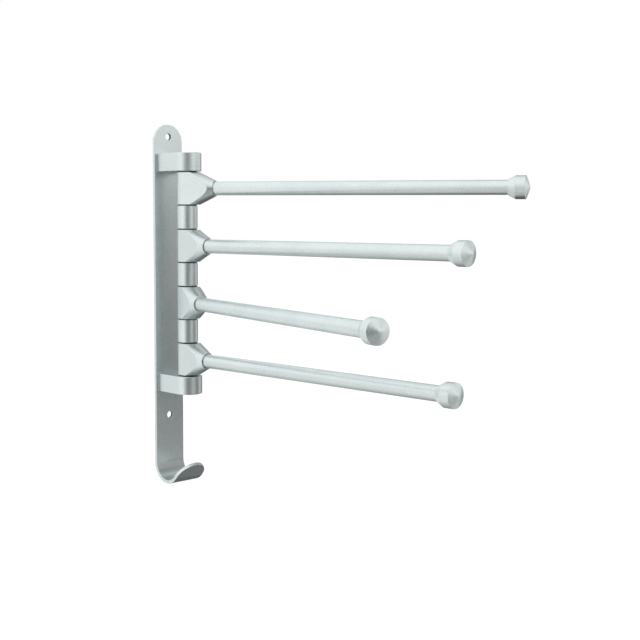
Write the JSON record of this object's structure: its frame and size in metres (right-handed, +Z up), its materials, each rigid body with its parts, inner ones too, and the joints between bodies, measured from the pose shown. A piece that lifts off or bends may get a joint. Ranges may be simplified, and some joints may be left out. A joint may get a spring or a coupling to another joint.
{
  "type": "swing arm towel bar",
  "caption": "Wall-mounted towel bar: long tubular arms with flared caps swing on one upright pivot, above an open hook bent from the foot of the wall plate.",
  "frame": {"origin": "on the wall plane, midway between the centres of the two wall-screw holes", "axes": "+X to the right along the wall, +Y into the wall, +Z up; the arms stand out towards -Y"},
  "size_m": [0.2177, 0.3278, 0.3195],
  "materials": {
    "satin_aluminium": "fine bead-blasted and clear anodised, satin",
    "dark_nylon": "moulded, matt",
    "bright_steel": "turned, bright"
  },
  "bodies": {
    "frame": {"back_plate": "satin_aluminium", "top_bracket": "satin_aluminium", "bottom_bracket": "satin_aluminium", "top_bracket_screws": "bright_steel", "bottom_bracket_screws": "bright_steel", "pivot_shaft": "bright_steel", "spacer_1": "satin_aluminium", "spacer_2": "satin_aluminium", "spacer_3": "satin_aluminium"},
    "arm_1": {"hub_1": "satin_aluminium", "bush_1_top": "dark_nylon", "bush_1_bottom": "dark_nylon", "arm_tube_1": "satin_aluminium", "end_cap_1": "satin_aluminium"},
    "arm_2": {"hub_2": "satin_aluminium", "bush_2_top": "dark_nylon", "bush_2_bottom": "dark_nylon", "arm_tube_2": "satin_aluminium", "end_cap_2": "satin_aluminium"},
    "arm_3": {"hub_3": "satin_aluminium", "bush_3_top": "dark_nylon", "bush_3_bottom": "dark_nylon", "arm_tube_3": "satin_aluminium", "end_cap_3": "satin_aluminium"},
    "arm_4": {"hub_4": "satin_aluminium", "bush_4_top": "dark_nylon", "bush_4_bottom": "dark_nylon", "arm_tube_4": "satin_aluminium", "end_cap_4": "satin_aluminium"}
  },
  "joints": [
    {"name": "arm_1_swing", "type": "hinge", "parent": "frame", "child": "arm_1", "pos_m": [0, -0.03, 0.0788], "axis": [0, 0, 1], "range_deg": [-117.5, 62.5]},
    {"name": "arm_2_swing", "type": "hinge", "parent": "frame", "child": "arm_2", "pos_m": [0, -0.03, 0.0288], "axis": [0, 0, 1], "range_deg": [-94.5, 85.5]},
    {"name": "arm_3_swing", "type": "hinge", "parent": "frame", "child": "arm_3", "pos_m": [0, -0.03, -0.0212], "axis": [0, 0, 1], "range_deg": [-77.5, 102.5]},
    {"name": "arm_4_swing", "type": "hinge", "parent": "frame", "child": "arm_4", "pos_m": [0, -0.03, -0.0712], "axis": [0, 0, 1], "range_deg": [-92, 88]}
  ]
}
